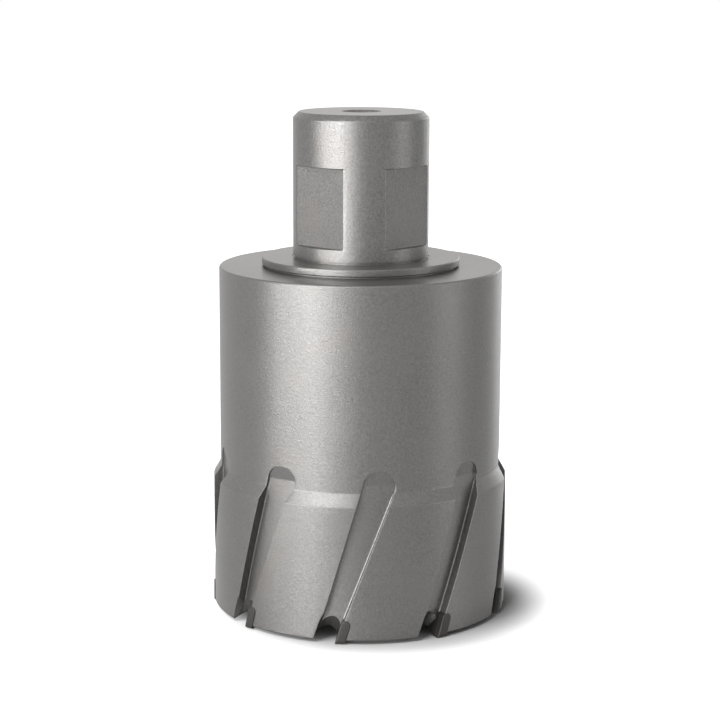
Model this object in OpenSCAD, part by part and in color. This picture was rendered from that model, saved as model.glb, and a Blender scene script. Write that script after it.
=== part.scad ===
// Carbide-tipped annular cutter with a two-flat side-lock shank.
// A cup-shaped hole cutter: the slug of metal that it cuts stays inside the cup, and a pilot pin runs
// down the hole in the shank. The axis is Z, the shank points up (+Z), and the origin is on the axis
// in the plane of the lowest points of the teeth. Angles are counted from the front (-Y) towards +X.
// The cutter turns clockwise seen from the shank. All sizes are in millimetres.

/* [Shank] */
// Diameter of the shank that the arbor grips
shank_d = 31.75; // [26:0.05:38]
// Length of the shank above the flange
shank_l = 33.85; // [28:0.05:45]
// Bevel at the top end of the shank
shank_bevel = 1.35; // [0.2:0.05:3]
// Diameter of the hole for the pilot pin
pilot_d = 8; // [6:0.05:12]
// Bevel at the mouth of the pilot hole
pilot_bevel = 0.7; // [0.1:0.05:1.5]
// Depth of the relief at the foot of the shank, below the shank's surface
neck_depth = 0.4; // [0.1:0.05:1]
// Height of the relief at the foot of the shank, above the flange
neck_h = 0.5; // [0.2:0.05:1.5]
// Width of the relief outside the shank, in the flange's top face
neck_w = 0.2; // [0.1:0.05:1]
// Depth of the relief in the flange's top face
neck_drop = 0.15; // [0.05:0.05:0.5]

/* [Drive flats] */
// Number of drive flats
flat_count = 2; // [1:1:3]
// Angle from one drive flat to the next
flat_step = 90; // [80:1:120]
// Angle of the middle of the first drive flat
flat_angle = -42; // [-180:1:180]
// Depth of a drive flat below the shank's surface
flat_depth = 1.83; // [0.5:0.01:3]
// Length of a drive flat
flat_l = 18.6; // [10:0.1:22]
// Height of the lower end of a drive flat above the flange
flat_foot = 3.25; // [1:0.05:8]

/* [Flange] */
// Diameter of the flange disc between the shank and the cup
flange_d = 46.4; // [40:0.1:60]
// Thickness of the flange disc
flange_t = 1.75; // [1:0.05:5]
// Bevel on the flange's edges
flange_bevel = 0.2; // [0.05:0.05:0.5]
// Height of the groove under the flange
seat_h = 0.3; // [0.1:0.05:1]
// Depth of the groove under the flange
seat_depth = 0.7; // [0.2:0.05:3]

/* [Cup] */
// How far the lands stand out beyond the plain upper part of the cup
band_step = 1.65; // [1:0.05:2.5]
// Depth of the cup above the plane of the teeth
cup_depth = 75; // [50:0.5:100]
// Thickness of the cup's end wall under the flange
end_wall = 6.85; // [4:0.05:12]
// Gap between the slug that the teeth leave and the cup's inner wall
slug_gap = 0.35; // [0.2:0.05:0.8]
// Bevel in the inner corner of the cup
cup_bevel = 2.5; // [0.5:0.1:5]
// Bevel on the top edge of the cup
body_bevel = 0.35; // [0.1:0.05:1]

/* [Lands] */
// Height of the lands' outer face above the plane of the teeth
band_h = 31.95; // [28:0.05:40]
// Height of the bevel on top of the lands
band_bevel_h = 2.85; // [1:0.05:4]
// Bevel on the lower edge of the lands
land_bevel = 0.35; // [0.1:0.05:1]
// How far the teeth stand out sideways beyond the lands
tip_stand = 0.25; // [0.1:0.05:0.6]
// How far the teeth stand out below the lands
tip_drop = 0.75; // [0.3:0.05:1.5]

/* [Flutes] */
// Number of teeth, each with its own flute
tooth_count = 9; // [6:1:10]
// Angle of the middle plane of the first flute
flute_angle = -2.4; // [-20:0.1:20]
// Depth of a flute below the lands
flute_depth = 2.3; // [2:0.05:2.6]
// Height of the rounded top end of a flute above the lands
flute_rise = 5; // [4:0.1:8]
// Radius of the rounded top end of a flute
flute_end_r = 3.7; // [3:0.05:4.2]
// How far the top end of a flute lies beside the flute's middle plane
flute_shift = 5.75; // [4:0.05:7]
// Lean of the wall behind a land
heel_lean = 16.4; // [14:0.1:18]
// Lean of the wall that carries a tooth
face_lean = 20.6; // [18:0.1:22]
// Height over which the floor of a flute runs out
run_out_h = 3.1; // [2:0.1:4]
// Depth that is left where a flute's floor meets the rounded end
end_step = 0.1; // [0.05:0.01:0.2]

/* [Gullets] */
// Radius of the round ceiling of a gullet
gullet_r = 2.75; // [2.2:0.05:3]
// Rise of a gullet's ceiling towards the outside
gullet_tilt = 50.5; // [45:0.5:55]
// Height of a gullet's crown at the inside of the cup
gullet_h = 3.6; // [3:0.05:4]
// How far a gullet's crown lies beside the flute's middle plane
gullet_shift = 5.25; // [4.9:0.05:5.8]

/* [Teeth] */
// Diameter over the teeth, which is the diameter of the hole that they cut
cutting_d = 70.3; // [62:0.1:80]
// Width of the ring that the teeth cut
cut_w = 5.5; // [4.5:0.05:6]
// Thickness of a carbide tip
tip_t = 2.2; // [1.8:0.05:2.4]
// Length of a carbide tip up to its round top
tip_l = 5.8; // [5:0.05:7]
// Lean of a carbide tip
tip_lean = 16.4; // [14:0.1:20]
// How far the foot of a tip lies beside the flute's middle plane
tip_shift = 2.97; // [2.8:0.01:3.2]
// Distance from the outside of a tip to its lowest point
nose_w = 0.75; // [0.3:0.05:1.5]
// Rise of the cutting edges and of the lands' lower faces towards the inside of the cup
edge_slope = 16; // [5:0.5:20]
// Slope of the outer corner of a tip
nose_slope = 35; // [20:1:50]
// Relief of the cutting edge behind its front
edge_relief = 5; // [2:0.5:8]

/* [Hidden] */
steel_colour = [0.55, 0.54, 0.52];
carbide_colour = [0.22, 0.22, 0.21];
// Facets on a full round edge and on a small one
round_fn = 180;
small_fn = 48;
// Overrun of a cutting shape beyond the face that it opens
over = 1;
shank_r = shank_d / 2;
flange_r = flange_d / 2;
// Radii of the cup, from the teeth inwards
tip_out_r = cutting_d / 2;
tip_in_r = tip_out_r - cut_w;
band_r = tip_out_r - tip_stand;
body_r = band_r - band_step;
core_r = band_r - flute_depth;
cup_r = tip_in_r + slug_gap;
// Heights of the turned faces above the plane of the teeth
body_top = cup_depth + end_wall;
flange_foot = body_top + seat_h;
flange_top = flange_foot + flange_t;
shank_top = flange_top + shank_l;
band_top = band_h + band_bevel_h;
flute_top = band_top + flute_rise;
land_foot_in = tip_drop + (band_r - land_bevel - cup_r) * tan(edge_slope);
flute_step = 360 / tooth_count;
// Turn of the turned surfaces that lays their seam at the back, opposite the drive flats
seam_turn = flat_angle + (flat_count - 1) * flat_step / 2 + 90;
// Centre of the rounded end of a flute, and the points where its straight walls run into the round
wall_inset = 0.1;
wall_r = flute_end_r - wall_inset;
end_z = flute_top - flute_end_r;
heel_x = flute_shift - wall_r * cos(heel_lean);
heel_z = end_z + wall_r * sin(heel_lean);
face_x = flute_shift + wall_r * cos(face_lean);
face_z = end_z - wall_r * sin(face_lean);
// Where the run-out of the flute floors leaves the cup's surface, above the flutes
run_out_rise = body_r - end_step - core_r;
core_top = flute_top + run_out_h;
core_top_r = body_r - end_step + run_out_rise;
// Half the slope of a flute's two walls together
flute_lean = (heel_lean + face_lean) / 2;
// Drop from a gullet's crown to its axis, measured straight down
crown_drop = gullet_r / cos(gullet_tilt);
gullet_reach = 3 * gullet_r;
tip_r = tip_t / 2;

// Outline of everything that is turned, from the inside of the cup round to the shank's top
module turned_profile() {
    polygon([
        [0, cup_depth],
        [cup_r - cup_bevel, cup_depth],
        [cup_r, cup_depth - cup_bevel],
        [cup_r, land_foot_in],
        [band_r - land_bevel, tip_drop],
        [band_r, tip_drop + land_bevel],
        [band_r, band_h],
        [body_r, band_top],
        [body_r, body_top - body_bevel],
        [body_r - body_bevel, body_top],
        [flange_r - seat_depth, body_top],
        [flange_r - seat_depth, flange_foot],
        [flange_r - flange_bevel, flange_foot],
        [flange_r, flange_foot + flange_bevel],
        [flange_r, flange_top - flange_bevel],
        [flange_r - flange_bevel, flange_top],
        [shank_r + neck_w, flange_top],
        [shank_r + neck_w, flange_top - neck_drop],
        [shank_r - neck_depth, flange_top - neck_drop],
        [shank_r - neck_depth, flange_top + neck_h],
        [shank_r, flange_top + neck_h],
        [shank_r, shank_top - shank_bevel],
        [shank_r - shank_bevel, shank_top],
        [0, shank_top]
    ]);
}

// The pilot pin's hole through the shank and the end wall of the cup, with its bevelled mouth
module pilot_hole() {
    translate([0, 0, cup_depth - over])
        cylinder(d = pilot_d, h = shank_top - cup_depth + over + over, $fn = round_fn);
    translate([0, 0, shank_top - pilot_bevel])
        cylinder(d1 = pilot_d, d2 = pilot_d + 2 * (pilot_bevel + over), h = pilot_bevel + over,
                 $fn = round_fn);
}

// Everything milled away for the drive flats
module drive_flats() {
    for (i = [0 : flat_count - 1])
        rotate([0, 0, flat_angle + i * flat_step])
            translate([-shank_r, -shank_r - over, flange_top + flat_foot])
                cube([shank_d, flat_depth + over, flat_l]);
}

// The core that the flutes leave standing: a cylinder that widens where the flute floors run out
module flute_core() {
    rotate_extrude($fn = round_fn)
        polygon([
            [0, -over],
            [core_r, -over],
            [core_r, flute_top - run_out_h],
            [core_top_r, core_top],
            [0, core_top]
        ]);
}

// One flute as a straight cutter: two leaning walls that both touch the round end
module flute_cutter() {
    rotate([90, 0, 0])
        translate([0, 0, cup_r])
            linear_extrude(height = band_r - cup_r + over)
                polygon([
                    [heel_x, heel_z],
                    [heel_x - (heel_z + over) * tan(heel_lean), -over],
                    [face_x - (face_z + over) * tan(face_lean), -over],
                    [face_x, face_z]
                ]);
    translate([flute_shift, 0, end_z])
        rotate([90, 0, 0])
            translate([0, 0, cup_r])
                cylinder(r = flute_end_r, h = band_r - cup_r + over, $fn = small_fn);
}

// One gullet: a round-topped opening through the wall, whose ceiling rises outwards
module gullet_cutter() {
    translate([-gullet_shift - crown_drop * tan(flute_lean), -cup_r, gullet_h - crown_drop])
        rotate([0, flute_lean, 0])
            rotate([90 - gullet_tilt, 0, 0])
                translate([0, 0, -gullet_reach]) {
                    cylinder(r = gullet_r, h = 2 * gullet_reach + gullet_r, $fn = small_fn);
                    translate([-gullet_r, -gullet_reach, 0])
                        cube([2 * gullet_r, gullet_reach, 2 * gullet_reach + gullet_r]);
                }
}

// Outline of a carbide tip seen from outside, run through the wall: a leaning plate with a round top
module tip_plate() {
    translate([-tip_shift, 0, 0])
        rotate([0, tip_lean, 0])
            rotate([90, 0, 0])
                translate([0, 0, tip_in_r - over]) {
                    translate([-tip_r, -tip_t, 0])
                        cube([tip_t, tip_l - tip_r + tip_t, cut_w + 2 * over]);
                    translate([0, tip_l - tip_r, 0])
                        cylinder(r = tip_r, h = cut_w + 2 * over, $fn = small_fn);
                }
}

// The space above the ground end faces of a tip: the edge rises inwards and behind its front
module tip_end_grind() {
    nose_r = tip_out_r - nose_w;
    translate([-tip_shift - tip_r / cos(tip_lean), 0, 0])
        rotate([0, -edge_relief, 0])
            rotate([90, 0, -90])
                linear_extrude(height = 2 * tip_l, center = true)
                    polygon([
                        [tip_in_r - over, (nose_r - tip_in_r + over) * tan(edge_slope)],
                        [nose_r, 0],
                        [tip_out_r + over, (nose_w + over) * tan(nose_slope)],
                        [tip_out_r + over, 2 * tip_l],
                        [tip_in_r - over, 2 * tip_l]
                    ]);
}

// One carbide tip in the frame of its own flute
module tip_solid() {
    intersection() {
        tip_plate();
        tip_end_grind();
        difference() {
            cylinder(r = tip_out_r, h = 2 * tip_l, $fn = round_fn);
            translate([0, 0, -over])
                cylinder(r = tip_in_r, h = 2 * (tip_l + over), $fn = round_fn);
        }
    }
}

// Places one flute's frame round the axis
module at_flute(i) {
    rotate([0, 0, flute_angle + (i - 1) * flute_step])
        children();
}

// The one-piece steel body: shank, flange and cup, with flutes, gullets and the pockets of the tips
module cutter_body() {
    color(steel_colour)
        difference() {
            rotate([0, 0, seam_turn])
                rotate_extrude($fn = round_fn)
                    turned_profile();
            pilot_hole();
            drive_flats();
            difference() {
                union()
                    for (i = [1 : tooth_count])
                        at_flute(i) flute_cutter();
                flute_core();
            }
            for (i = [1 : tooth_count])
                at_flute(i) {
                    gullet_cutter();
                    tip_solid();
                }
        }
}

// One carbide tip in its place, counted from the front towards +X
module carbide_tip(i) {
    color(carbide_colour)
        at_flute(i) tip_solid();
}

cutter_body();
for (i = [1 : tooth_count])
    carbide_tip(i);
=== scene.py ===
"""Carbide-tipped annular cutter, standing on its teeth on a pale studio floor.

Heights are counted in millimetres from the plane of the teeth, and angles in degrees from the
front (-Y) towards +X.
"""

import logging
import math
from collections import Counter
from dataclasses import dataclass
from enum import IntEnum
from typing import Any, Callable, Sequence, Union

import bmesh
import bpy
import numpy as np
from mathutils import Matrix, Vector


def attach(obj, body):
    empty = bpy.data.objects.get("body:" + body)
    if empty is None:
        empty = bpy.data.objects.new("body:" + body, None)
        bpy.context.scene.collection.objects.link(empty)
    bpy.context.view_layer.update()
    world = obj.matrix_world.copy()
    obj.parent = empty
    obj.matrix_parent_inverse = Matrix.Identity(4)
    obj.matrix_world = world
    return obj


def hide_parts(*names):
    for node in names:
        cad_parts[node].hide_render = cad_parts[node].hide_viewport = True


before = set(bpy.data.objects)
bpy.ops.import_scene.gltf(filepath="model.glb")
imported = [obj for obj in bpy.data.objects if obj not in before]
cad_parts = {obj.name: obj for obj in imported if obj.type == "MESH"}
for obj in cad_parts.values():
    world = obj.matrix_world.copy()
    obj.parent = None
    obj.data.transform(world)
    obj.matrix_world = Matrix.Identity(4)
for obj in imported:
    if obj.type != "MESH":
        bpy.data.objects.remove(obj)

MM = 0.001
TINY = 1e-9
SAME_POINT = 1e-6
HALVINGS = 34
WHITE = (1, 1, 1, 1)
LOG = logging.getLogger("annular_cutter")
Operand = Union["Signal", float]
Corner = tuple[float, float, float]


@dataclass(frozen=True)
class Signal:
    """An output socket of a finish's node tree, used as a value in Python expressions."""

    sheet: "NodeSheet"
    socket: bpy.types.NodeSocket

    def math(self, operation: str, first: Operand, second: Operand) -> "Signal":
        """Adds one Math node.

        Args:
            operation: The Math node's operation.
            first: Its first value.
            second: Its second value.

        Returns:
            The node's result.
        """
        return self.sheet.node("ShaderNodeMath", {"operation": operation}, {0: first, 1: second})

    def __add__(self, other: Operand) -> "Signal":
        """Sum of two values."""
        return self.math("ADD", self, other)

    def __radd__(self, other: Operand) -> "Signal":
        """Sum with a number on the left."""
        return self.math("ADD", other, self)

    def __sub__(self, other: Operand) -> "Signal":
        """Difference of two values."""
        return self.math("SUBTRACT", self, other)

    def __rsub__(self, other: Operand) -> "Signal":
        """Difference with a number on the left."""
        return self.math("SUBTRACT", other, self)

    def __mul__(self, other: Operand) -> "Signal":
        """Product of two values."""
        return self.math("MULTIPLY", self, other)

    def __rmul__(self, other: Operand) -> "Signal":
        """Product with a number on the left."""
        return self.math("MULTIPLY", other, self)

    def __gt__(self, other: Operand) -> "Signal":
        """One where the value is above the other, else zero."""
        return self.math("GREATER_THAN", self, other)


class NodeSheet:
    """The node tree of one material or world while it is being written."""

    def __init__(self, tree: bpy.types.NodeTree) -> None:
        """Starts with an empty tree.

        Args:
            tree: The node tree to fill.
        """
        self.tree = tree
        tree.nodes.clear()

    def node(
        self,
        kind: str,
        settings: dict[str, Any] | None = None,
        inputs: dict[int | str, Any] | None = None,
        output: int | str = 0,
    ) -> Signal:
        """Adds one node of any kind.

        Args:
            kind: The node's type.
            settings: Its properties, set before its sockets; "stops" fills a colour ramp.
            inputs: The value of, or the link to, each named or numbered socket.
            output: The output that is returned.

        Returns:
            The chosen output as a signal.
        """
        made = self.tree.nodes.new(kind)
        for name, value in (settings or {}).items():
            if name == "stops":
                self._fill_ramp(made.color_ramp, value)
            else:
                setattr(made, name, value)
        for name, value in (inputs or {}).items():
            if isinstance(value, Signal):
                self.tree.links.new(value.socket, made.inputs[name])
            else:
                made.inputs[name].default_value = value
        return Signal(self, made.outputs[output] if made.outputs else None)

    @staticmethod
    def _fill_ramp(ramp: bpy.types.ColorRamp, stops: Sequence[tuple[float, float]]) -> None:
        """Writes a colour ramp's stops.

        Args:
            ramp: The ramp.
            stops: Position and grey level of each stop, from left to right.
        """
        while len(ramp.elements) < len(stops):
            ramp.elements.new(0.5)
        for element, (place, grey) in zip(ramp.elements, stops):
            element.position = place
            element.color = (grey, grey, grey, 1)

    def mix(self, factor: Operand, first: Any, second: Any) -> Signal:
        """Mixes two colours.

        Args:
            factor: Share of the second colour.
            first: First colour.
            second: Second colour.

        Returns:
            The mixed colour.
        """
        return self.node(
            "ShaderNodeMix", {"data_type": "RGBA"}, {0: factor, 6: first, 7: second}, output=2
        )

    def background(self, in_metal: float = 1.0) -> Signal:
        """How far a ray shows the surroundings as white.

        Args:
            in_metal: The share of white for rays that are reflected in metal or pass through glass.

        Returns:
            One for the camera's rays, the share for glossy and transmission rays, else zero.
        """
        seen, glossy, through = (
            self.node("ShaderNodeLightPath", output=f"Is {kind} Ray")
            for kind in ("Camera", "Glossy", "Transmission")
        )
        return seen + in_metal * glossy.math("MAXIMUM", glossy, through)

    def noise(
        self, place: Signal, size_mm: float, detail: float = 2, roughness: float = 0.5
    ) -> Signal:
        """Noise with features of a given size.

        Args:
            place: The coordinates to read.
            size_mm: Rough size of its features.
            detail: Number of finer layers.
            roughness: Weight of the finer layers.

        Returns:
            The noise's value, from 0 to 1.
        """
        return self.node(
            "ShaderNodeTexNoise", {},
            {
                "Vector": place, "Scale": 1 / (size_mm * MM),
                "Detail": detail, "Roughness": roughness,
            },
        )

    def ramp(self, value: Signal, stops: Sequence[tuple[float, float]]) -> Signal:
        """Grey level of a value on a colour ramp with the given stops."""
        return self.node("ShaderNodeValToRGB", {"stops": stops}, {0: value})

    def bump(self, height: Signal, distance: float) -> Signal:
        """Adds a relief.

        Args:
            height: Its height, from 0 to 1.
            distance: The height in metres that 1 stands for.

        Returns:
            The normal of the relief.
        """
        return self.node(
            "ShaderNodeBump", {}, {"Strength": 1.0, "Distance": distance, "Height": height}
        )

    def principled(self, colour: Any, metallic: float, rough: Signal, normal: Signal) -> Signal:
        """Adds the Principled shader of a metal.

        Args:
            colour: Its colour.
            metallic: How far it is a metal.
            rough: Its roughness.
            normal: Its normal with the relief.

        Returns:
            The shader.
        """
        return self.node(
            "ShaderNodeBsdfPrincipled", {},
            {"Base Color": colour, "Metallic": metallic, "Roughness": rough, "Normal": normal},
        )


def new_material(name: str) -> tuple[bpy.types.Material, NodeSheet]:
    """Makes an empty material with nodes.

    Args:
        name: The material's name.

    Returns:
        The material and its node sheet.
    """
    material = bpy.data.materials.new(name)
    material.use_nodes = True
    return material, NodeSheet(material.node_tree)


@dataclass(frozen=True)
class BlastedSteel:
    """Hardened steel with a fine blasted grain and warm patches, smoother on its level faces, which
    also get a painted warm tint of light.

    Sizes of grain, pits and patches are in millimetres, and the relief and the shank's foot in
    metres. A face is level where the square of its normal's Z is above level_from.
    """

    dark: tuple = (0.118, 0.116, 0.113, 1)
    light: tuple = (0.184, 0.181, 0.178, 1)
    # colour of the random warm patches, and also of the painted warm tint of light on level faces
    warm_patch_and_painted_light: tuple = (0.176, 0.164, 0.154, 1)
    metallic: float = 0.8
    grain_mm: float = 0.5
    grain_detail: float = 3
    grain_roughness: float = 0.6
    pit_mm: float = 0.22
    patch_mm: float = 16
    grain_share: float = 0.6
    pit_share: float = 0.4
    grain_stops: tuple = ((0.32, 0.0), (0.68, 1.0))
    patch_stops: tuple = ((0.42, 0.0), (0.68, 0.4))
    level_from: float = 0.8
    # share of the painted warm tint of light on faces that look up or down
    painted_light_on_level: float = 0.7
    shank_foot: float = 0.0841
    shank_contrast: float = 0.5
    roughness: float = 0.29
    turned_roughness: float = 0.22
    grain_rough: float = 0.1
    patch_rough: float = 0.05
    relief: float = 0.00008
    relief_plain: float = 0.7
    relief_shank: float = 0.1
    relief_level: float = 0.5

    def build(self) -> bpy.types.Material:
        """Writes the material.

        Faces that look up or down are turned smooth and get a painted warm tint of light, and the
        shank above the flange has the strongest grain.

        Returns:
            The finished material.
        """
        material, sheet = new_material("blasted_steel")
        place = sheet.node("ShaderNodeTexCoord", output="Object")
        height = sheet.node("ShaderNodeSeparateXYZ", {}, {0: place}, output="Z")
        normal = sheet.node("ShaderNodeNewGeometry", output="True Normal")
        upward = sheet.node("ShaderNodeSeparateXYZ", {}, {0: normal}, output="Z")
        level = upward * upward > self.level_from
        on_shank = height > self.shank_foot
        grain = sheet.noise(place, self.grain_mm, self.grain_detail, self.grain_roughness)
        pits = sheet.noise(place, self.pit_mm, 1)
        patch = sheet.noise(place, self.patch_mm)
        mottle = self.grain_share * grain + self.pit_share * pits
        speckle = 0.5 + (mottle - 0.5) * (1 + self.shank_contrast * on_shank)
        tone = sheet.ramp(speckle, self.grain_stops)
        colour = sheet.mix(tone, self.dark, self.light)
        tint = sheet.ramp(patch, self.patch_stops)
        colour = sheet.mix(tint, colour, self.warm_patch_and_painted_light)
        # painted light: faces that look up or down are tinted warm, standing in for the warm light
        # they catch
        colour = sheet.mix(self.painted_light_on_level * level, colour, self.warm_patch_and_painted_light)
        strength = self.relief_plain + self.relief_shank * on_shank - self.relief_level * level
        bump = sheet.bump((0.5 * grain + 0.5 * pits) * strength, self.relief)
        rough = self.roughness + self.grain_rough * grain + self.patch_rough * patch
        rough = rough - (self.roughness - self.turned_roughness) * level
        shader = sheet.principled(colour, self.metallic, rough, bump)
        sheet.node("ShaderNodeOutputMaterial", {}, {"Surface": shader})
        return material


@dataclass(frozen=True)
class GroundCarbide:
    """Dark hard metal with a very fine grain and ground faces, whose scratches are drawn out."""

    dark: tuple = (0.026, 0.025, 0.024, 1)
    light: tuple = (0.066, 0.063, 0.06, 1)
    metallic: float = 0.6
    grain_mm: float = 0.25
    scratch_mm: float = 0.12
    scratch_scale: tuple = (1, 1, 0.12)
    roughness: float = 0.38
    scratch_rough: float = 0.12
    relief: float = 0.000008

    def build(self) -> bpy.types.Material:
        """Writes the material.

        Returns:
            The finished material.
        """
        material, sheet = new_material("ground_carbide")
        place = sheet.node("ShaderNodeTexCoord", output="Object")
        grain = sheet.noise(place, self.grain_mm)
        drawn = sheet.node("ShaderNodeMapping", {}, {"Vector": place, "Scale": self.scratch_scale})
        scratches = sheet.noise(drawn, self.scratch_mm, 1)
        colour = sheet.mix(grain, self.dark, self.light)
        bump = sheet.bump(0.6 * scratches + 0.4 * grain, self.relief)
        rough = self.roughness + self.scratch_rough * scratches
        shader = sheet.principled(colour, self.metallic, rough, bump)
        sheet.node("ShaderNodeOutputMaterial", {}, {"Surface": shader})
        return material


@dataclass(frozen=True)
class PaleFloor:
    """Pale satin floor that shows as white away from the object's shadow; places are in metres."""

    colour: tuple = (0.68, 0.68, 0.68, 1)
    roughness: float = 0.2
    gloss: float = 2.0
    shadow_middle: tuple = (0.005, -0.003, 0)
    shadow_start: float = 0.030
    shadow_end: float = 0.046
    glow_in_metal: float = 0.3

    def build(self) -> bpy.types.Material:
        """Writes the material.

        The white glow comes in between two distances from the middle of the shadow. In metal it
        is weaker, because there the satin paper itself mirrors the white surroundings.

        Returns:
            The finished material.
        """
        material, sheet = new_material("pale_floor")
        place = sheet.node("ShaderNodeTexCoord", output="Object")
        reach = sheet.node(
            "ShaderNodeVectorMath", {"operation": "DISTANCE"},
            {0: place, 1: self.shadow_middle}, output="Value",
        )
        rise = sheet.node(
            "ShaderNodeMapRange", {"interpolation_type": "SMOOTHSTEP"},
            {"Value": reach, "From Min": self.shadow_start, "From Max": self.shadow_end},
        )
        satin = sheet.node(
            "ShaderNodeBsdfPrincipled", {},
            {"Base Color": self.colour, "Roughness": self.roughness, "IOR": self.gloss},
        )
        matt = sheet.node("ShaderNodeBsdfDiffuse", {}, {"Color": self.colour})
        seen = sheet.node("ShaderNodeLightPath", output="Is Camera Ray")
        paper = sheet.node("ShaderNodeMixShader", {}, {0: seen, 1: satin, 2: matt})
        glow = sheet.node("ShaderNodeEmission", {}, {"Color": WHITE, "Strength": 1.0})
        white = sheet.node("ShaderNodeAddShader", {}, {0: paper, 1: glow})
        share = sheet.background(self.glow_in_metal) * rise
        both = sheet.node("ShaderNodeMixShader", {}, {0: share, 1: paper, 2: white})
        sheet.node("ShaderNodeOutputMaterial", {}, {"Surface": both})
        return material


def blend(first: Any, second: Any, share: Any) -> Any:
    """Goes from first to second as share goes from 0 to 1."""
    return first + (second - first) * share


def rounding(first: Any, corner: Any, last: Any, t: Any) -> Any:
    """Curve (1-t)^2 first + 2t(1-t) corner + t^2 last, which rounds a corner."""
    return (1 - t) ** 2 * first + 2 * t * (1 - t) * corner + t**2 * last


def rounded_path(corners: Sequence[Corner], steps: int = 4) -> np.ndarray:
    """Rounds the corners of an open path.

    The rounding of a corner runs between the points on its two sides that lie at its reach.

    Args:
        corners: Place and height of each corner, and the reach of its rounding.
        steps: Points on each rounding.

    Returns:
        The path's points, one row each, with doubles left out.
    """
    rows = np.array(corners, float)
    points, reach = rows[:, :2], rows[:, 2:]
    before, after = np.vstack([points[:1], points[:-1]]), np.vstack([points[1:], points[-1:]])
    sides = (before - points, after - points)
    lengths = [np.maximum(np.linalg.norm(side, axis=1, keepdims=True), TINY) for side in sides]
    first, last = (points + side / length * reach for side, length in zip(sides, lengths))
    t = np.linspace(0, 1, steps)[None, :, None]
    flat = rounding(first[:, None], points[:, None], last[:, None], t).reshape(-1, 2)
    keep = np.r_[True, np.linalg.norm(np.diff(flat, axis=0), axis=1) > SAME_POINT]
    return flat[keep]


def bisect(
    is_low: Callable[[np.ndarray], np.ndarray], low: np.ndarray, high: np.ndarray
) -> np.ndarray:
    """Halves the interval between low and high again and again, on whole arrays.

    Args:
        is_low: Tells where a value lies on the low side of the wanted one.
        low: Start of the interval.
        high: End of the interval.

    Returns:
        The wanted values.
    """
    low, high = np.broadcast_arrays(np.asarray(low, float), np.asarray(high, float))
    for _ in range(HALVINGS):
        middle = (low + high) / 2
        below = is_low(middle)
        low, high = np.where(below, middle, low), np.where(below, high, middle)
    return (low + high) / 2


def on_ring(angle: np.ndarray, radius: np.ndarray, height: np.ndarray) -> np.ndarray:
    """Points (R sin a, -R cos a, z), with angles in degrees from the front."""
    angle, radius, height = np.broadcast_arrays(np.radians(angle), radius, height)
    return np.stack([radius * np.sin(angle), -radius * np.cos(angle), height], -1)


def outwards(grid: np.ndarray, lift: float = 0) -> np.ndarray:
    """Vectors from the axis to the points of a grid, with the lift as their height."""
    return grid * (1, 1, 0) + (0, 0, lift)


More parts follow.
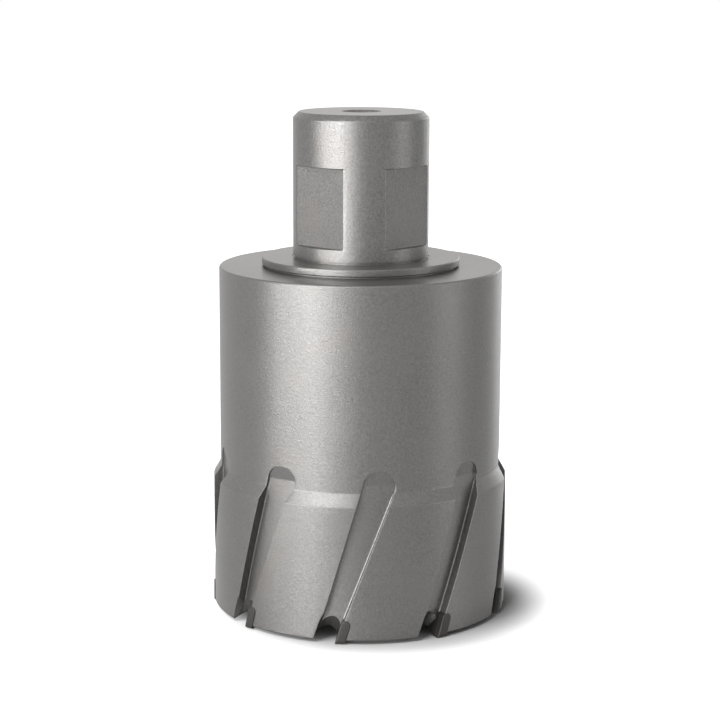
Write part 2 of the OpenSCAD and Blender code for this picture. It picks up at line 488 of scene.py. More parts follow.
class Skin:
    """Collects grids of points and makes one mesh of them.

    Points nearer than MERGE become one, and edges shorter than SLIVER go. The grids are joined
    within each of the REACHES in turn, by points nearer to an edge than EDGE_SHARE of its length
    and further from its ends than END_SHARE of it. Holes of up to HOLE_SIDES are filled.
    """

    MERGE = 0.002 * MM
    SLIVER = 0.0005 * MM
    REACHES = (0.03 * MM, 0.45 * MM, 0.45 * MM)
    EDGE_SHARE = 0.2
    END_SHARE = 1e-4
    HOLE_SIDES = 8

    def __init__(self) -> None:
        """Starts with nothing."""
        self.points: list[np.ndarray] = []
        self.faces: list[np.ndarray] = []
        self.count = 0

    def add(self, grid: np.ndarray, facing: np.ndarray, closed: bool = False) -> None:
        """Adds the quads of one grid, turned so that they face the given way.

        Args:
            grid: Points in rows and columns.
            facing: For each point, a vector on the open side of the surface.
            closed: Whether the last column joins the first.
        """
        rows, columns = grid.shape[:2]
        index = np.arange(rows * columns).reshape(rows, columns)
        if closed:
            index = np.hstack([index, index[:, :1]])
        corners = (index[:-1, :-1], index[:-1, 1:], index[1:, 1:], index[1:, :-1])
        quads = np.stack(corners, -1).reshape(-1, 4)
        flat = grid.reshape(-1, 3)
        ways = np.broadcast_to(facing, grid.shape).reshape(-1, 3)
        first, second, third, fourth = (flat[quads[:, corner]] for corner in range(4))
        normal = np.cross(third - first, fourth - second)
        if np.sum(normal * ways[quads[:, 0]]) < 0:
            quads = quads[:, ::-1]
        self.points.append(flat)
        self.faces.append(quads + self.count)
        self.count += len(flat)

    @classmethod
    def _stitch(cls, work: bmesh.types.BMesh, reach: float) -> None:
        """Joins grids that meet along a common edge but have different points on it.

        With an open edge from A along D, a point P of the other side has the share
        s = (P - A).D / D.D and the distance |P - A - sD|. Where s lies between 0 and 1, and the
        distance is within the reach and a fifth of the edge, the edge is cut and the cut put
        on P, so that both sides end up with the same points.

        Args:
            work: The mesh to close.
            reach: Greatest distance from a point to the edge that it cuts.
        """
        edges = [edge for edge in work.edges if edge.is_boundary]
        ends = Counter(vert for edge in edges for vert in edge.verts)
        points = [vert for vert, count in ends.items() if count == 2]
        if not points:
            return
        place = np.array([vert.co for vert in points])
        firsts = [edge.verts[0] for edge in edges]
        start = np.array([vert.co for vert in firsts])
        along = np.array([edge.other_vert(vert).co for edge, vert in zip(edges, firsts)]) - start
        length = np.sum(along**2, axis=1)
        share = (place @ along.T - np.sum(start * along, axis=1)) / length
        apart = np.sum(place**2, axis=1)[:, None] - 2 * place @ start.T + np.sum(start**2, axis=1)
        away = apart - share**2 * length
        numbers = {vert: number for number, vert in enumerate(points)}
        own = [
            (numbers[vert], column)
            for column, edge in enumerate(edges) for vert in edge.verts if vert in numbers
        ]
        away[tuple(np.array(own).T)] = np.inf
        away[(share < cls.END_SHARE) | (share > 1 - cls.END_SHARE)] = np.inf
        nearest = np.argmin(away, axis=1)
        limit = np.minimum(reach**2, cls.EDGE_SHARE**2 * length[nearest])
        near = np.flatnonzero(away[np.arange(len(points)), nearest] < limit)
        for row in near[np.argsort(-share[near, nearest[near]])]:
            first = firsts[nearest[row]]
            _, cut = bmesh.utils.edge_split(edges[nearest[row]], first, 0.5)
            cut.co = points[row].co
            edges[nearest[row]] = next(
                side for side in cut.link_edges if side.other_vert(cut) == first
            )
        bmesh.ops.remove_doubles(work, verts=work.verts, dist=cls.MERGE)

    def build(
        self, name: str, material: bpy.types.Material, sharp: float = 34
    ) -> bpy.types.Object:
        """Makes the object: joins its grids, shades it smooth and keeps its sharp edges.

        Args:
            name: The piece's name.
            material: Its finish.
            sharp: Angle in degrees above which an edge stays sharp.

        Returns:
            The finished object.
        """
        mesh = bpy.data.meshes.new(name)
        mesh.from_pydata(np.vstack(self.points) * MM, [], np.vstack(self.faces))
        work = bmesh.new()
        work.from_mesh(mesh)
        bmesh.ops.remove_doubles(work, verts=work.verts, dist=self.MERGE)
        bmesh.ops.dissolve_degenerate(work, edges=work.edges, dist=self.SLIVER)
        for reach in self.REACHES:
            self._stitch(work, reach)
        rims = [edge for edge in work.edges if edge.is_boundary]
        bmesh.ops.holes_fill(work, edges=rims, sides=self.HOLE_SIDES)
        stray = [face for face in work.faces if all(edge.is_boundary for edge in face.edges)]
        bmesh.ops.delete(work, geom=stray, context="FACES")
        work.to_mesh(mesh)
        work.free()
        mesh.validate()
        mesh.shade_smooth()
        mesh.set_sharp_from_angle(angle=math.radians(sharp))
        mesh.materials.append(material)
        piece = bpy.data.objects.new(name, mesh)
        bpy.context.scene.collection.objects.link(piece)
        even = piece.modifiers.new("even_shading", "WEIGHTED_NORMAL")
        even.keep_sharp = True
        LOG.info("%s: %d faces", name, len(mesh.polygons))
        return piece


@dataclass(frozen=True)
class Gullet:
    """The round-topped opening through the wall in front of a tooth, in the frame of its flute.

    In that frame x runs sideways, -y outwards and z up. The opening is a slot with a round top
    whose axis rises outwards: a point is inside where hypot(a, max(b, 0)) is under the radius,
    with a and b its places across the axis and above it.
    """

    radius: float = 2.75
    tilt: float = 50.5
    crown: float = 3.6
    shift: float = 5.25
    lean: float = 18.5
    cup_r: float = 30.0
    margin: float = 0.5

    def axes(self) -> tuple[np.ndarray, np.ndarray, np.ndarray, np.ndarray]:
        """Works out the axis.

        Returns:
            A point on the axis, and the directions across it, above it and along it.
        """
        lean, fall = math.radians(self.lean), math.radians(90 - self.tilt)
        sideways, upright = math.sin(lean), math.cos(lean)
        level, steep = math.sin(fall), math.cos(fall)
        drop = self.radius / math.cos(math.radians(self.tilt))
        start = np.array([-self.shift - drop * math.tan(lean), -self.cup_r, self.crown - drop])
        across = np.array([upright, 0, -sideways])
        above = np.array([sideways * level, steep, upright * level])
        along = np.array([sideways * steep, -level, upright * steep])
        return start, across, above, along

    def clearance(self, x: np.ndarray, ring: np.ndarray, z: np.ndarray) -> np.ndarray:
        """How far a point of a ring lies outside the opening; less than zero inside it.

        Args:
            x: Sideways place.
            ring: Distance from the cutter's axis.
            z: Height.

        Returns:
            The clearance.
        """
        start, across, above, _ = self.axes()
        x, ring, z = np.broadcast_arrays(x, ring, z)
        point = np.stack([x, -np.sqrt(ring**2 - x**2), z], -1) - start
        return np.hypot(point @ across, np.maximum(point @ above, 0)) - self.radius

    def side(self, z: np.ndarray, ring: np.ndarray, way: int) -> np.ndarray:
        """Sideways place of the opening's left (-1) or right (+1) edge on a ring at a height.

        Args:
            z: Height.
            ring: Distance from the cutter's axis.
            way: -1 or +1.

        Returns:
            The edge's place, or infinity on the far side where there is no opening.
        """
        start = self.axes()[0]
        middle = start[0] + (z - start[2]) * math.tan(math.radians(self.lean))
        middle, ring, z = np.broadcast_arrays(middle, ring, z)
        reach = way * (self.radius / math.cos(math.radians(self.lean)) + self.margin)
        edge = bisect(lambda x: self.clearance(x, ring, z) < 0, middle, middle + reach)
        return np.where(self.clearance(middle, ring, z) < 0, edge, -way * np.inf)

    def facing(self, points: np.ndarray) -> np.ndarray:
        """Works out the open side of the opening's surface.

        Args:
            points: Points on the surface.

        Returns:
            Vectors from the points towards the opening's axis.
        """
        start, across, above, _ = self.axes()
        away = points - start
        return -(away @ across)[..., None] * across - np.maximum(away @ above, 0)[..., None] * above


@dataclass(frozen=True)
class Flute:
    """Outline of one flute in its own frame: two leaning walls that run into a round top end."""

    end_r: float = 3.7
    shift: float = 5.75
    top: float = 39.8
    heel_lean: float = 16.4
    face_lean: float = 20.6
    inset: float = 0.1
    floor_r: float = 32.6
    floor_top_r: float = 33.7
    floor_top: float = 42.9
    run_out: float = 3.1

    def wall(self, z: np.ndarray, way: int) -> np.ndarray:
        """Sideways place of the left (-1) or right (+1) wall.

        The wall is the outer one of a leaning line and the circle of the round end.

        Args:
            z: Height.
            way: -1 or +1.

        Returns:
            The wall's place.
        """
        lean = math.radians(self.heel_lean if way < 0 else self.face_lean)
        middle, inner_r = self.top - self.end_r, self.end_r - self.inset
        line_z = middle - way * inner_r * math.sin(lean)
        line_x = self.shift + way * inner_r * math.cos(lean)
        line = np.where(z <= line_z, way * (line_x + (z - line_z) * math.tan(lean)), -np.inf)
        left = self.end_r**2 - (z - middle) ** 2
        circle = np.where(left >= 0, way * self.shift + np.sqrt(np.maximum(left, 0)), -np.inf)
        return way * np.maximum(line, circle)

    def floor(self, z: np.ndarray) -> np.ndarray:
        """Radius of the floor, which runs out near the top.

        Args:
            z: Height.

        Returns:
            The floor's distance from the cutter's axis.
        """
        low = self.top - self.run_out
        rise = (self.floor_top_r - self.floor_r) / (self.floor_top - low)
        return self.floor_r + np.maximum(z - low, 0) * rise


class Stretch(IntEnum):
    """The stretches of the skin across one flute, from the land on its left to the next land."""

    LEFT_LAND = 0
    LEFT_EDGE = 1
    LEFT_WALL = 2
    LEFT_CORNER = 3
    FLOOR = 4
    RIGHT_CORNER = 5
    RIGHT_WALL = 6
    RIGHT_EDGE = 7
    RIGHT_LAND = 8


@dataclass(frozen=True)
class CutterBody:
    """The one-piece steel body: shank with drive flats, flange, cup, fluted lands and gullets.

    Fields that end in _r are radii, and those in _round the reach of a rounding. The seam is where
    the grids of two flutes meet, in the middle of a land, and columns gives the points on each
    stretch. Rows under settle are squeezed towards the foot. The rounding of a flute's corner comes
    in over corner_fade, and takes up no more than depth_share of the wall and width_share of the
    floor. Above the flute its columns draw together to a slit and spread again. Searches for the
    gullet's edges run within gullet_heights, gullet_run and mouth_top. The shank's top and hole
    face away from the ring at core_r and core_h.
    """

    pitch: float = 40.0
    teeth: int = 9
    first_flute: float = -2.4
    cup_r: float = 30.0
    foot: float = 0.75
    foot_r: float = 34.55
    foot_top: float = 1.1
    foot_rise: float = math.tan(math.radians(16))
    band_r: float = 34.9
    body_r: float = 33.25
    band_h: float = 31.95
    band_top: float = 34.8
    rim_round: float = 0.12
    skin_top: float = 42.0
    settle: float = 12.0
    seam_angle: float = -30.6
    seam_drift: float = 20.0
    seam_rise: float = 36.0
    columns: tuple = (14, 5, 3, 5, 11, 5, 3, 5, 12)
    edge_round: float = 0.14
    corner_round: float = 0.45
    corner_fade: float = 2.0
    depth_share: float = 0.35
    width_share: float = 0.15
    spread: float = 3.2
    slit: float = 0.02
    nudge: float = 0.01
    wall_points: int = 10
    gullet_heights: tuple = (2.0, 9.0)
    gullet_run: float = 9.0
    gullet_rows: int = 6
    foot_rows: int = 12
    foot_columns: int = 16
    mouth_top: float = 6.0
    mouth_points: int = 15
    inner_columns: int = 24
    inner_rows: int = 8
    inner_foot: float = 10.0
    inner_end: float = 75.0
    cup_top: float = 81.85
    flange_r: float = 23.2
    seat: float = 83.9
    shank_foot: float = 84.4
    shank_r: float = 15.875
    shank_end: float = 116.0
    top: float = 117.75
    pilot_r: float = 4.0
    core_r: float = 5.0
    core_h: float = 100.0
    flat_depth: float = 1.83
    flat_foot: float = 87.15
    flat_top: float = 105.75
    flat_angles: tuple = (-42.0, 48.0)
    flat_limit: float = 60.0
    gullet: Gullet = Gullet()
    flute: Flute = Flute()

    def build(self, material: bpy.types.Material) -> bpy.types.Object:
        """Makes the whole body as one piece in place of its CAD node.

        Args:
            material: The steel's finish.

        Returns:
            The piece.
        """
        skin = Skin()
        angles = self._fluted_skin(skin)
        self._turned_outside(skin, angles)
        self._shank(skin)
        self._gullets(skin)
        self._feet(skin)
        self._inside(skin)
        piece = skin.build("cutter_body_steel", material)
        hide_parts("cutter_body")
        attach(piece, "root")
        return piece

    def _foot_height(self, ring: np.ndarray) -> np.ndarray:
        """Height of the lands' lower face, which rises inwards."""
        return self.foot + (self.foot_r - ring) * self.foot_rise

    def _left(self, z: np.ndarray, ring: np.ndarray) -> np.ndarray:
        """Place of the wall behind a land, where the gullet doesn't cut further back."""
        return np.minimum(self.flute.wall(z, -1), self.gullet.side(z, ring, -1))

    def _right(self, z: np.ndarray, ring: np.ndarray) -> np.ndarray:
        """Place of the wall that carries a tooth, where the gullet doesn't cut further."""
        return np.maximum(self.flute.wall(z, 1), self.gullet.side(z, ring, 1))

    def _seam(self, z: np.ndarray) -> np.ndarray:
        """Angle from a flute's middle plane to the middle of the land on its left."""
        return self.seam_angle + self.seam_drift * np.clip((z - self.foot) / self.seam_rise, 0, 1)

    def _starts(self) -> tuple[float, float]:
        """Finds where the flute's two walls leave the gullet.

        Returns:
            The heights on the flute's floor, of the left wall and of the right one.
        """
        ring = np.array(self.flute.floor_r)
        left, right = (
            bisect(
                lambda z: self.gullet.clearance(self.flute.wall(z, way), ring, z) < 0,
                *self.gullet_heights,
            )
            for way in (-1, 1)
        )
        return float(left), float(right)

    def _columns(self) -> tuple[np.ndarray, np.ndarray]:
        """Shares out the columns across one flute, from land to land.

        Returns:
            The stretch of each column, and its share along that stretch.
        """
        kinds, shares = [], []
        for stretch, count in zip(Stretch, self.columns):
            share = np.linspace(0, 1, count)[: count - (stretch < Stretch.RIGHT_LAND)]
            kinds.append(np.full(len(share), int(stretch)))
            shares.append(share)
        return np.concatenate(kinds), np.concatenate(shares)

    def _chart(
        self, kind: np.ndarray, t: np.ndarray, z: np.ndarray, land: np.ndarray
    ) -> tuple[Any, Any]:
        """Cross-section of the skin round one flute, as sideways place and radius.

        The section runs along the land, rounds its edge, goes down the wall, rounds the corner,
        crosses the floor and climbs the other side in the same way.

        Args:
            kind: Stretch of each column.
            t: Share along the stretch.
            z: Height of each point.
            land: Radius of the land in each row.

        Returns:
            Sideways place and radius of each point.
        """
        kind, t, z, land = np.broadcast_arrays(kind, t, z, land)
        inner = np.minimum(self.flute.floor(z), land)
        depth = land - inner
        edge = np.minimum(self.edge_round, self.depth_share * depth)
        wide = np.maximum(self.flute.wall(z, 1) - self.flute.wall(z, -1), 0)
        most = np.minimum(self.depth_share * depth, self.width_share * wide)
        corner = [
            np.minimum(self.corner_round * np.clip((z - start) / self.corner_fade, 0, 1), most)
            for start in self._starts()
        ]
        seam_x = [land * np.sin(np.radians(self._seam(z) + turn)) for turn in (0, self.pitch)]
        place = np.zeros_like(z)
        ring = np.array(land)
        for way, wall, end in ((-1, self._left, 0), (1, self._right, 1)):
            c = corner[end]
            top, low = wall(z, land), wall(z, inner)
            order = slice(0, Stretch.FLOOR) if way < 0 else slice(None, Stretch.FLOOR, -1)
            share = t if way < 0 else 1 - t
            down = blend(land - edge, inner + c, share)
            sections = (
                (blend(seam_x[end], top + way * edge, share), land),
                (rounding(top + way * edge, top, wall(z, land - edge), share),
                 rounding(land, land, land - edge, share)),
                (wall(z, down), down),
                (rounding(wall(z, inner + c), low, low - way * c, share),
                 rounding(inner + c, inner, inner, share)),
            )
            for stretch, (x, radius) in zip(tuple(Stretch)[order], sections):
                place = np.where(kind == stretch, x, place)
                ring = np.where(kind == stretch, radius, ring)
        floor_x = blend(self._left(z, inner) + corner[0], self._right(z, inner) - corner[1], t)
        place = np.where(kind == Stretch.FLOOR, floor_x, place)
        ring = np.where(kind == Stretch.FLOOR, inner, ring)
        return place, ring

    def _rows(self) -> tuple[np.ndarray, np.ndarray]:
        """Works out the skin's rows, which are closest at the gullet and in the flute's round end.

        Returns:
            Heights of the rows, and the land's radius in each.
        """
        path = rounded_path(
            [
                (self.foot_r, self.foot, 0), (self.band_r, self.foot_top, self.rim_round),
                (self.band_r, self.band_h, self.rim_round),
                (self.body_r, self.band_top, self.rim_round), (self.body_r, self.skin_top, 0),
            ],
            5,
        )
        flute = self.flute
        more = np.concatenate([
            np.arange(1.3, 9, 0.28), np.arange(9, 31, 2.2), [33.3, flute.top - flute.run_out],
            flute.top - flute.end_r + flute.end_r * np.sin(np.radians(np.linspace(-85, 88.5, 26))),
            flute.top + np.array([0.001, 0.3, 0.9, 1.5]),
        ])
        heights = np.unique(np.concatenate([path[:, 1], more]))
        heights = heights[np.r_[True, np.diff(heights) > Skin.MERGE / MM]]
        return heights, np.interp(heights, path[:, 1], path[:, 0])

    def _flute_grid(self) -> tuple[np.ndarray, np.ndarray, np.ndarray]:
        """Angle from the flute's middle plane, radius and height of the skin across one flute.

        Rows below the settling height are squeezed so that each column starts on the gullet or
        on the foot. Above the flute the columns spread out again from its middle.

        Returns:
            Angles in degrees, radii and heights, in rows and columns.
        """
        kind, t = self._columns()
        heights, land = self._rows()
        first = self._starts()
        guess = np.where(kind <= Stretch.FLOOR, first[0], first[1])
        on_gullet = bisect(
            lambda z: self.gullet.clearance(*self._chart(kind, t, z, self.band_r), z) < 0,
            guess - self.nudge, self.settle,
        )
        _, foot_ring = self._chart(kind, t, self._foot_height(self.foot_r) + 0 * t, self.foot_r)
        low = np.where(self._on_floor(kind), on_gullet, self._foot_height(foot_ring))
        corner = (kind == Stretch.RIGHT_WALL) & (t == 0)
        low = np.where(corner, self._foot_height(self.flute.floor_r), low)
        share = np.clip((self.settle - heights[:, None]) / (self.settle - self.foot), 0, 1)
        z = np.where(share > 0, self.settle - share * (self.settle - low), heights[:, None])
        place, ring = self._chart(kind, t, z, land[:, None])
        begin, end = (np.argmax(kind == edge) for edge in (Stretch.LEFT_EDGE, Stretch.RIGHT_LAND))
        rank = (np.arange(len(kind)) - begin) / (end - begin)
        risen = np.clip((z - self.flute.top) / (self.skin_top - self.flute.top), 0, 1)
        spread = self.spread * risen + self.slit
        edges = [self.flute.shift - spread, self.flute.shift + spread]
        seams = [self.body_r * np.sin(np.radians(self._seam(z) + turn)) for turn in (0, self.pitch)]
        plain = blend(edges[0], edges[1], rank)
        plain = np.where(kind == Stretch.LEFT_LAND, blend(seams[0], edges[0], t), plain)
        plain = np.where(kind == Stretch.RIGHT_LAND, blend(edges[1], seams[1], t), plain)
        above = z > self.flute.top
        place = np.where(above, plain, place)
        ring = np.where(above, land[:, None], ring)
        return np.degrees(np.arcsin(place / ring)), ring, z

    @staticmethod
    def _on_floor(kind: np.ndarray) -> np.ndarray:
        """Tells which columns lie on the flute's floor or in its corners."""
        return (kind >= Stretch.LEFT_CORNER) & (kind <= Stretch.RIGHT_CORNER)

    def around(self) -> np.ndarray:
        """Angles of the flutes' middle planes."""
        return self.first_flute + self.pitch * np.arange(self.teeth)

    def _fluted_skin(self, skin: Skin) -> np.ndarray:
        """Adds the outside of the fluted lands and the cup just above them.

        Args:
            skin: The body's skin.

        Returns:
            The angles of the top row's columns.
        """
        angle, ring, z = self._flute_grid()
        for middle in self.around():
            grid = on_ring(angle + middle, ring, z)
            skin.add(grid, outwards(grid))
        return np.concatenate([angle[-1, :-1] + middle for middle in self.around()])

    def _turned_outside(self, skin: Skin, angles: np.ndarray) -> None:
        """Adds the plain cup, its top face, the flange and the relief at the shank's foot.

        The profile of radius and height is turned round the axis. Under the flange runs a narrow
        groove, and the relief is sunk in the seat round the shank and in the shank itself.

        Args:
            skin: The body's skin.
            angles: Angles of its columns.
        """
        path = rounded_path([
            (self.body_r, self.skin_top, 0), (self.body_r, 81.5, 0.15), (32.9, self.cup_top, 0.15),
            (22.5, self.cup_top, 0.05), (22.5, 82.15, 0.08), (23.0, 82.15, 0.08),
            (self.flange_r, 82.35, 0.06), (self.flange_r, 83.7, 0.06), (23.0, self.seat, 0.06),
            (16.075, self.seat, 0.05), (16.075, 83.75, 0.03), (15.475, 83.75, 0.04),
            (15.475, self.shank_foot, 0.05), (self.shank_r, self.shank_foot, 0),
        ])
        grid = on_ring(angles[None, :], path[:, :1], path[:, 1:])
        skin.add(grid, outwards(grid, lift=20), closed=True)

    def _shank(self, skin: Skin) -> None:
        """Adds the shank with its drive flats, its bevelled top and the pilot hole.

        A flat is a plane at a depth below the surface, so its radius at angle f from its middle
        is (R - depth) / cos f, and the surface is the smaller of that and R. The depth follows a
        rounded path up the shank. The top and the hole face away from a ring in the steel between.

        Args:
            skin: The body's skin.
        """
        half = math.degrees(math.acos(1 - self.flat_depth / self.shank_r))
        near = half * np.r_[
            np.linspace(-1, -0.86, 6), np.linspace(-0.72, 0.72, 11), np.linspace(0.86, 1, 6)
        ]
        left, right = self.flat_angles
        gap = np.linspace(left + half, right - half, 12)[1:-1]
        back = np.linspace(right + half, left - half + 360, 84)[1:-1]
        angles = np.concatenate([near + left, gap, near + right, back])
        depths = rounded_path(
            [
                (0, self.shank_foot, 0), (0, self.flat_foot, 0.1),
                (self.flat_depth, self.flat_foot, 0.4), (self.flat_depth, self.flat_top, 0.4),
                (0, self.flat_top, 0.1), (0, self.shank_end, 0),
            ],
            6,
        )
        turns = [np.abs((angles - middle + 180) % 360 - 180) for middle in self.flat_angles]
        from_flat = np.minimum(np.min(turns, axis=0), self.flat_limit)
        cut = (self.shank_r - depths[:, :1]) / np.cos(np.radians(from_flat))
        grid = on_ring(angles[None, :], np.minimum(cut, self.shank_r), depths[:, 1:])
        skin.add(grid, outwards(grid), closed=True)
        path = rounded_path([
            (self.shank_r, self.shank_end, 0), (self.shank_r, 116.4, 0.2), (14.525, self.top, 0.2),
            (4.7, self.top, 0.12), (self.pilot_r, 117.05, 0.12), (self.pilot_r, self.inner_end, 0),
        ])
        grid = on_ring(angles[None, :], path[:, :1], path[:, 1:])
        away = on_ring(angles[None, :], path[:, :1] - self.core_r, path[:, 1:] - self.core_h)
        skin.add(grid, away, closed=True)

    def _gullets(self, skin: Skin) -> None:
        """Adds the gullets' surfaces.

        Each is ruled: from every point of the skin's edge a line runs inwards along the gullet's
        axis until it meets the cup's inner wall or the foot of the lands.

        Args:
            skin: The body's skin.
        """
        kind, _ = self._columns()
        angle, ring, z = self._flute_grid()
        bottom = on_ring(angle[0], ring[0], z[0])[self._on_floor(kind)]
        floor_r = self.flute.floor_r
        edges = []
        for wall, start in zip((self._left, self._right), self._starts()):
            height = np.linspace(float(self._foot_height(floor_r)), start, self.wall_points)
            x = wall(height, np.full(len(height), floor_r))
            edges.append(np.stack([x, -np.sqrt(floor_r**2 - x**2), height], -1))
        border = np.vstack([edges[0][:-1], bottom, edges[1][::-1][1:]])
        along = self.gullet.axes()[3]

        def still_steel(length: np.ndarray) -> np.ndarray:
            """Tells whether lines from the border end in the steel.

            Args:
                length: Length of each line.

            Returns:
                True where the line's end is outside the cup and above the lands' lower face.
            """
            point = border - length[:, None] * along
            reach = np.hypot(point[:, 0], point[:, 1])
            return (reach > self.cup_r) & (point[:, 2] > self._foot_height(reach))

        length = bisect(still_steel, np.zeros(len(border)), np.full(len(border), self.gullet_run))
        share = np.linspace(0, 1, self.gullet_rows)[:, None, None]
        rows = border[None] - share * length[None, :, None] * along
        ways = self.gullet.facing(rows)
        for middle in self.around():
            sine, cosine = math.sin(math.radians(middle)), math.cos(math.radians(middle))
            spin = np.array([[cosine, sine, 0], [-sine, cosine, 0], [0, 0, 1]])
            skin.add(rows @ spin, ways @ spin)

    def _feet(self, skin: Skin) -> None:
        """Adds the lands' lower faces: cones that rise inwards, between two gullets.

        Args:
            skin: The body's skin.
        """
        ring = np.linspace(self.foot_r, self.cup_r, self.foot_rows)
        height = self._foot_height(ring)
        fluted = ring > self.flute.floor_r
        right_x = np.where(fluted, self._left(height, ring), self.gullet.side(height, ring, -1))
        left_x = np.where(fluted, self._right(height, ring), self.gullet.side(height, ring, 1))
        right = np.degrees(np.arcsin(right_x / ring))[:, None]
        left = np.degrees(np.arcsin(left_x / ring))[:, None] - self.pitch
        share = np.linspace(0, 1, self.foot_columns)[None, :]
        for middle in self.around():
            grid = on_ring(blend(left, right, share) + middle, ring[:, None], height[:, None])
            skin.add(grid, np.array([0, 0, -1.0]))

    def _inside(self, skin: Skin) -> None:
        """Adds the cup's inner wall with the gullets' mouths, and its end face.

        Args:
            skin: The body's skin.
        """
        ring = np.array(self.cup_r)
        foot = self._foot_height(ring)
        edge = [float(self.gullet.side(foot, ring, way)) for way in (-1, 1)]
        swing = np.linspace(0, math.pi, self.mouth_points)
        mouth = blend(edge[0], edge[1], (1 - np.cos(swing)) / 2)
        arch = bisect(
            lambda z: self.gullet.clearance(mouth, ring, z) < 0,
            np.full(self.mouth_points, float(foot)), self.mouth_top,
        )
        arch[[0, -1]] = foot
        mouth_angle = np.degrees(np.arcsin(mouth / self.cup_r))
        land = np.linspace(
            mouth_angle[-1] - self.pitch, mouth_angle[0], self.inner_columns
        )[1:-1]
        angles = np.concatenate([land, mouth_angle])
        low = np.concatenate([np.full(len(land), float(foot)), arch])
        around = np.concatenate([angles + middle for middle in self.around()])
        lows = np.tile(low, self.teeth)
        share = np.linspace(0, 1, self.inner_rows)[:, None]
        grid = on_ring(around[None, :], self.cup_r, blend(lows[None, :], self.inner_foot, share))
        skin.add(grid, -outwards(grid), closed=True)
        path = rounded_path([
            (self.cup_r, self.inner_foot, 0), (self.cup_r, 72.5, 0.3), (27.5, self.inner_end, 0.3),
            (self.pilot_r, self.inner_end, 0),
        ])
        grid = on_ring(around[None, :], path[:, :1], path[:, 1:])
        skin.add(grid, -outwards(grid, lift=20), closed=True)


@dataclass(frozen=True)
class CarbideTip:
    """One leaning hard-metal plate with a round top and ground lower faces."""

    thick: float = 2.2
    long: float = 5.8
    lean: float = 16.4
    shift: float = 2.97
    inner_r: float = 29.65
    outer_r: float = 35.15
    nose: float = 34.4
    edge_slope: float = 16
    nose_slope: float = 35
    relief: float = 5
    bevel: float = 0.13
    points: tuple = (9, 17, 9, 7)
    cap_rings: tuple = (0.35, 0.7)
    nose_rings: tuple = (-3.9, -2.4, -1.0, -0.12, -0.04, 0.0, 0.05, 0.15)
    dulling: tuple = (0, 0, 0, 0, 0.012, 0.02, 0.012, 0)

    def _outline(self, across: np.ndarray, out: np.ndarray, shrink: np.ndarray) -> tuple[Any, Any]:
        """Closed outline of the plate at a distance out from the axis.

        From the foot of its front the outline climbs the front, goes over the half circle of the
        top, down the back and along the ground foot. The foot's height is the distance from the
        nose times the slope, plus the relief's slope times the distance behind the front.

        Args:
            across: Place along the outline, from 0 to 4.
            out: Distance outwards from the axis.
            shrink: How far the outline is drawn in.

        Returns:
            Sideways place and height of each point.
        """
        half = self.thick / 2 - shrink
        lean = math.radians(self.lean)
        spring = self.long - self.thick / 2
        bow = math.pi * (np.clip(across, 1, 2) - 1)
        sideways = np.where(across < 3, -half * np.cos(bow), half - 2 * half * (across - 3))
        front = self.shift + self.thick / 2 / math.cos(lean)
        angles = (self.edge_slope, self.nose_slope, self.relief)
        edge, nose, relief = (math.tan(math.radians(angle)) for angle in angles)
        foot = (self.nose - out) * np.where(out < self.nose, edge, -nose) + shrink
        behind = sideways * math.cos(lean) - self.shift + front
        foot_along = (foot + behind * relief + sideways * math.sin(lean)) / math.cos(lean)
        top = spring + half * np.sin(bow)
        climb = np.where(across < 1, across, np.where(across > 2, 3 - across, 1))
        along = np.where(across < 3, blend(foot_along, top, np.clip(climb, 0, 1)), foot_along)
        x = -self.shift + sideways * math.cos(lean) + along * math.sin(lean)
        return x, along * math.cos(lean) - sideways * math.sin(lean)

    def build(self, number: int, angle: float, material: bpy.types.Material) -> bpy.types.Object:
        """Makes one tip in place of its CAD node.

        Args:
            number: The tip's number, counted from the front.
            angle: Angle of its flute's middle plane.
            material: The carbide's finish.

        Returns:
            The piece.
        """
        across = np.concatenate(
            [side + np.linspace(0, 1, count)[:-1] for side, count in enumerate(self.points)]
        )
        turns = np.linspace(0, math.pi / 2, 4)
        edge = self.bevel * (1 - np.sin(turns))
        sink = self.bevel * (1 - np.cos(turns))
        caps = self.bevel + np.array([*self.cap_rings, self.thick / 2])
        inner = (np.full(len(caps), self.inner_r), self.inner_r + sink)
        nose = self.nose + np.array(self.nose_rings)
        outer = (self.outer_r - sink[::-1], np.full(len(caps), self.outer_r))
        ring = np.concatenate([*inner, nose, *outer])[:, None]
        shrink = np.concatenate([caps[::-1], edge, self.dulling, edge[::-1], caps])[:, None]
        out = np.sqrt(ring**2 - self.shift**2)
        x, z = self._outline(across[None, :], out, np.minimum(shrink, self.thick / 2))
        flat = np.degrees(np.arcsin(x / ring))
        grid = on_ring(flat + angle, ring, z)
        middle = grid.mean(axis=(0, 1))
        skin = Skin()
        skin.add(grid, grid - middle, closed=True)
        piece = skin.build(f"hard_tip_{number}", material)
        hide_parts(f"carbide_tip_{number}")
        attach(piece, "root")
        return piece


@dataclass(frozen=True)
class PhotoCamera:
    """The camera at the photograph's viewing angle, in millimetres and degrees."""

    side: float = -0.068
    distance: float = 468.49
    height: float = 149.66
    pitch_down: float = 10.961
    roll: float = 0.231
    focal: float = 100.454
    sensor: float = 36.0
    clip: tuple = (0.01, 20.0)

    def build(self) -> None:
        """Makes the camera and sets it as the scene's."""
        data = bpy.data.cameras.new("photo_camera")
        data.lens = self.focal
        data.sensor_width = self.sensor
        data.clip_start, data.clip_end = self.clip
        camera = bpy.data.objects.new("photo_camera", data)
        tilt = Matrix.Rotation(math.radians(90 - self.pitch_down), 4, "X")
        turn = Matrix.Rotation(math.radians(self.roll), 4, "Z")
        place = Matrix.Translation(Vector((self.side, -self.distance, self.height)) * MM)
        camera.matrix_world = place @ tilt @ turn
        bpy.context.scene.collection.objects.link(camera)
        bpy.context.scene.camera = camera


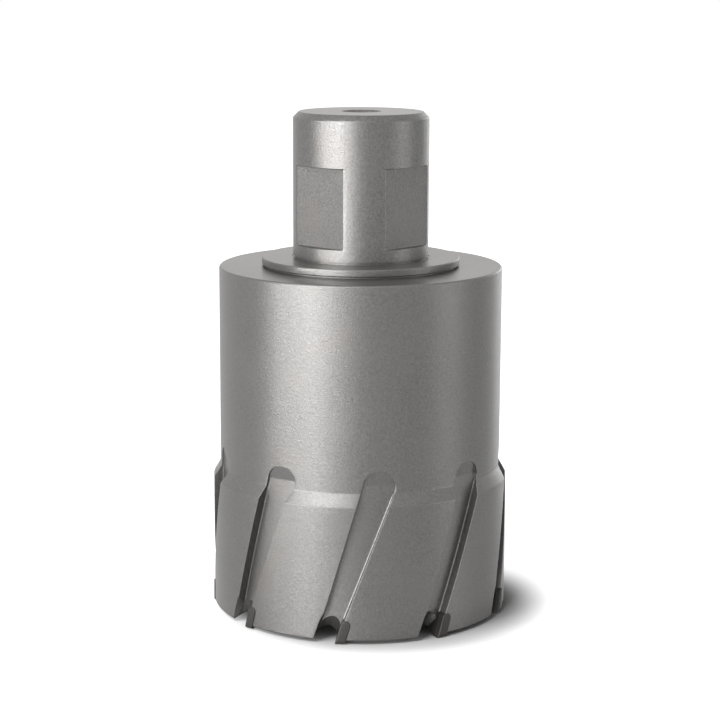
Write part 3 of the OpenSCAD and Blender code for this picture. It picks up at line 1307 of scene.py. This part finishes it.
@dataclass(frozen=True)
class SoftBox:
    """One soft rectangular lamp that looks at the cutter: degrees, metres and watts."""

    name: str
    azimuth: float
    elevation: float
    distance: float
    width: float
    tall: float
    power: float
    aim_height: float = 0.06

    def build(self) -> None:
        """Makes the lamp."""
        data = bpy.data.lights.new(self.name, "AREA")
        data.shape = "RECTANGLE"
        data.size = self.width
        data.size_y = self.tall
        data.energy = self.power
        lamp = bpy.data.objects.new(self.name, data)
        turn, rise = math.radians(self.azimuth), math.radians(self.elevation)
        level = math.cos(rise)
        away = Vector((level * math.sin(turn), -level * math.cos(turn), math.sin(rise)))
        lamp.location = away * self.distance + Vector((0, 0, self.aim_height))
        lamp.rotation_euler = (-away).to_track_quat("-Z", "Y").to_euler()
        bpy.context.scene.collection.objects.link(lamp)


@dataclass(frozen=True)
class Studio:
    """Pale floor, white surroundings and soft boxes, most of them far away and low on the left."""

    floor_size: float = 8.0
    ambient: float = 0.08
    lamps: tuple = (
        SoftBox("key_box_1", -16, 5, 6.0, 1.26, 1.2, 32),
        SoftBox("key_box_2", -28, 5, 6.0, 1.26, 1.2, 55),
        SoftBox("key_box_3", -40, 5, 6.0, 1.26, 1.2, 91),
        SoftBox("key_box_4", -52, 5, 6.0, 1.26, 1.2, 20),
        SoftBox("key_box_5", -64, 5, 6.0, 1.26, 1.2, 90),
        SoftBox("upper_key_box", -44, 14.5, 6.0, 1.26, 0.9, 62),
        SoftBox("high_box", -41, 49, 1.6, 1.0, 0.5, 19),
        SoftBox("side_box", 75, 8, 6.0, 2.4, 1.6, 34),
        SoftBox("back_box", 152, 8, 6.0, 2.4, 1.6, 30),
    )

    def build(self) -> None:
        """Makes the floor, the world and the lamps."""
        self._floor()
        self._world()
        for lamp in self.lamps:
            lamp.build()
        LOG.info("studio: %d soft boxes", len(self.lamps))

    def _floor(self) -> None:
        """Lays the floor in the plane of the teeth."""
        half = self.floor_size / 2
        mesh = bpy.data.meshes.new("studio_floor")
        corners = [(-half, -half, 0), (half, -half, 0), (half, half, 0), (-half, half, 0)]
        mesh.from_pydata(corners, [], [(0, 1, 2, 3)])
        floor = bpy.data.objects.new("studio_floor", mesh)
        bpy.context.scene.collection.objects.link(floor)
        mesh.materials.append(PaleFloor().build())

    def _world(self) -> None:
        """Surrounds the scene with white, which lights matt surfaces only softly."""
        world = bpy.data.worlds.new("studio")
        bpy.context.scene.world = world
        world.use_nodes = True
        sheet = NodeSheet(world.node_tree)
        strength = self.ambient + (1 - self.ambient) * sheet.background()
        glow = sheet.node("ShaderNodeBackground", {}, {"Color": WHITE, "Strength": strength})
        sheet.node("ShaderNodeOutputWorld", {}, {"Surface": glow})


def main() -> None:
    """Builds the scene round the frame."""
    logging.basicConfig(level=logging.INFO, format="%(name)s: %(message)s")
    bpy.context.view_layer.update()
    PhotoCamera().build()
    steel = BlastedSteel().build()
    carbide = GroundCarbide().build()
    body = CutterBody()
    pieces = [body.build(steel)]
    for number, angle in enumerate(body.around(), 1):
        pieces.append(CarbideTip().build(number, angle, carbide))
    LOG.info("%d pieces in place of their CAD nodes", len(pieces))
    Studio().build()
    bpy.context.scene.view_settings.view_transform = "Standard"


if __name__ == "__main__":
    main()
